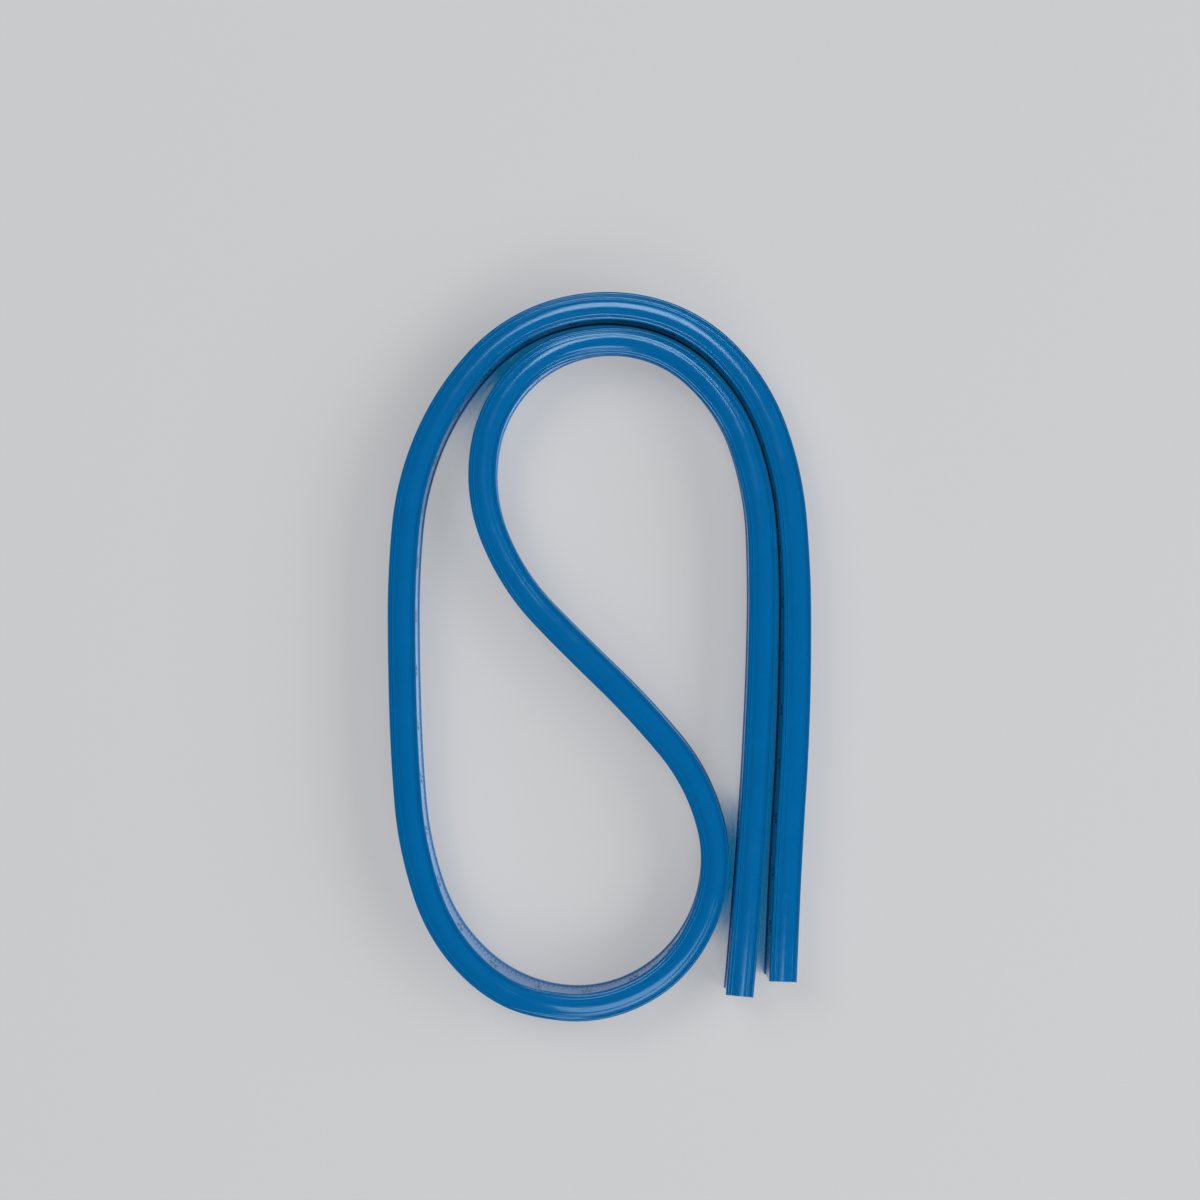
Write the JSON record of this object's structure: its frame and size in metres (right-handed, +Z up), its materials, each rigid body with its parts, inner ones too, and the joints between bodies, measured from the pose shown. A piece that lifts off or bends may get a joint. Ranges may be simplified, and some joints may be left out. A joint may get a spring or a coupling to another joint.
{
  "type": "flexible curve ruler",
  "caption": "Bendable drawing curve: a graduated vinyl strip with a soft lead and spring steel core, laid in loops and hinged where it can be re-bent.",
  "frame": {"origin": "middle of the whole ruler as it lies, on the table under its foot", "axes": "+Y along the legs, from the two ends towards the closed loops; +X to the right as seen from above; +Z up from the table"},
  "size_m": [0.078, 0.1342, 0.0085],
  "materials": {
    "vinyl_cover": "gloss blue vinyl",
    "end_plug": "satin blue vinyl",
    "lead_core": "dull lead grey",
    "spring_steel": "bright rolled strip"
  },
  "bodies": {
    "fixed_run": {"cover_fixed_run": "vinyl_cover", "lead_bar_fixed_run": "lead_core", "steel_strip_left_fixed_run": "spring_steel", "steel_strip_right_fixed_run": "spring_steel"},
    "tip": {"cover_tip": "vinyl_cover", "lead_bar_tip": "lead_core", "steel_strip_left_tip": "spring_steel", "steel_strip_right_tip": "spring_steel", "end_plug_a": "end_plug"},
    "arm_01": {"cover_arm_01": "vinyl_cover", "lead_bar_arm_01": "lead_core", "steel_strip_left_arm_01": "spring_steel", "steel_strip_right_arm_01": "spring_steel"},
    "arm_02": {"cover_arm_02": "vinyl_cover", "lead_bar_arm_02": "lead_core", "steel_strip_left_arm_02": "spring_steel", "steel_strip_right_arm_02": "spring_steel"},
    "arm_03": {"cover_arm_03": "vinyl_cover", "lead_bar_arm_03": "lead_core", "steel_strip_left_arm_03": "spring_steel", "steel_strip_right_arm_03": "spring_steel"},
    "arm_04": {"cover_arm_04": "vinyl_cover", "lead_bar_arm_04": "lead_core", "steel_strip_left_arm_04": "spring_steel", "steel_strip_right_arm_04": "spring_steel"},
    "arm_05": {"cover_arm_05": "vinyl_cover", "lead_bar_arm_05": "lead_core", "steel_strip_left_arm_05": "spring_steel", "steel_strip_right_arm_05": "spring_steel"},
    "arm_06": {"cover_arm_06": "vinyl_cover", "lead_bar_arm_06": "lead_core", "steel_strip_left_arm_06": "spring_steel", "steel_strip_right_arm_06": "spring_steel"},
    "arm_07": {"cover_arm_07": "vinyl_cover", "lead_bar_arm_07": "lead_core", "steel_strip_left_arm_07": "spring_steel", "steel_strip_right_arm_07": "spring_steel"},
    "arm_08": {"cover_arm_08": "vinyl_cover", "lead_bar_arm_08": "lead_core", "steel_strip_left_arm_08": "spring_steel", "steel_strip_right_arm_08": "spring_steel"},
    "arm_09": {"cover_arm_09": "vinyl_cover", "lead_bar_arm_09": "lead_core", "steel_strip_left_arm_09": "spring_steel", "steel_strip_right_arm_09": "spring_steel"},
    "arm_10": {"cover_arm_10": "vinyl_cover", "lead_bar_arm_10": "lead_core", "steel_strip_left_arm_10": "spring_steel", "steel_strip_right_arm_10": "spring_steel"},
    "arm_11": {"cover_arm_11": "vinyl_cover", "lead_bar_arm_11": "lead_core", "steel_strip_left_arm_11": "spring_steel", "steel_strip_right_arm_11": "spring_steel", "end_plug_b": "end_plug"}
  },
  "joints": [
    {"name": "tip_bend", "type": "hinge", "parent": "fixed_run", "child": "tip", "pos_m": [0.02743, -0.04553, 0.00425], "axis": [0, 0, 1], "range_deg": [-15, 7]},
    {"name": "arm_bend_01", "type": "hinge", "parent": "fixed_run", "child": "arm_01", "pos_m": [-0.03146, 0.03996, 0.00425], "axis": [0, 0, 1], "range_deg": [0, 34]},
    {"name": "arm_bend_02", "type": "hinge", "parent": "arm_01", "child": "arm_02", "pos_m": [-0.02236, 0.05414, 0.00425], "axis": [0, 0, 1], "range_deg": [0, 46]},
    {"name": "arm_bend_03", "type": "hinge", "parent": "arm_02", "child": "arm_03", "pos_m": [-0.00823, 0.06307, 0.00425], "axis": [0, 0, 1], "range_deg": [0, 44]},
    {"name": "arm_bend_04", "type": "hinge", "parent": "arm_03", "child": "arm_04", "pos_m": [0.0085, 0.06374, 0.00425], "axis": [0, 0, 1], "range_deg": [0, 48]},
    {"name": "arm_bend_05", "type": "hinge", "parent": "arm_04", "child": "arm_05", "pos_m": [0.02313, 0.05572, 0.00425], "axis": [0, 0, 1], "range_deg": [0, 40]},
    {"name": "arm_bend_06", "type": "hinge", "parent": "arm_05", "child": "arm_06", "pos_m": [0.0321, 0.04154, 0.00425], "axis": [0, 0, 1], "range_deg": [0, 30]},
    {"name": "arm_bend_07", "type": "hinge", "parent": "arm_06", "child": "arm_07", "pos_m": [0.0357, 0.02505, 0.00425], "axis": [0, 0, 1], "range_deg": [0, 20.5]},
    {"name": "arm_bend_08", "type": "hinge", "parent": "arm_07", "child": "arm_08", "pos_m": [0.0363, 0.00815, 0.00425], "axis": [0, 0, 1], "range_deg": [0, 16]},
    {"name": "arm_bend_09", "type": "hinge", "parent": "arm_08", "child": "arm_09", "pos_m": [0.03595, -0.00885, 0.00425], "axis": [0, 0, 1], "range_deg": [0, 17]},
    {"name": "arm_bend_10", "type": "hinge", "parent": "arm_09", "child": "arm_10", "pos_m": [0.03515, -0.02583, 0.00425], "axis": [0, 0, 1], "range_deg": [0, 16]},
    {"name": "arm_bend_11", "type": "hinge", "parent": "arm_10", "child": "arm_11", "pos_m": [0.0342, -0.0428, 0.00425], "axis": [0, 0, 1], "range_deg": [0, 15.5]}
  ]
}
